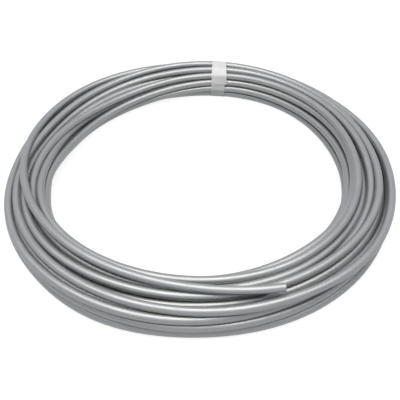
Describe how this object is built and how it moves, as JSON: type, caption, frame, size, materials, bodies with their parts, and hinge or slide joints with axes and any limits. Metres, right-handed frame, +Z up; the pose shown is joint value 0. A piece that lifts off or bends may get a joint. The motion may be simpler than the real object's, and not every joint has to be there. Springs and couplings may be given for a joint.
{
  "type": "coil of pneumatic tubing",
  "caption": "Coil of round plastic air tubing, wound in nested layers, bound once with tape, with one free end lying over the turns.",
  "frame": {"origin": "on the coil's axis, at the floor it lies on", "axes": "+Z up along the coil's axis; +X points the way the cut end points, seen from above; the tape is towards +Y"},
  "size_m": [0.4052, 0.4052, 0.0398],
  "materials": {
    "tubing": "satin extruded polyurethane, silver grey",
    "binding_tape": "satin white plastic film tape"
  },
  "bodies": {
    "root": {"tubing": "tubing", "binding_tape": "binding_tape"}
  },
  "joints": []
}
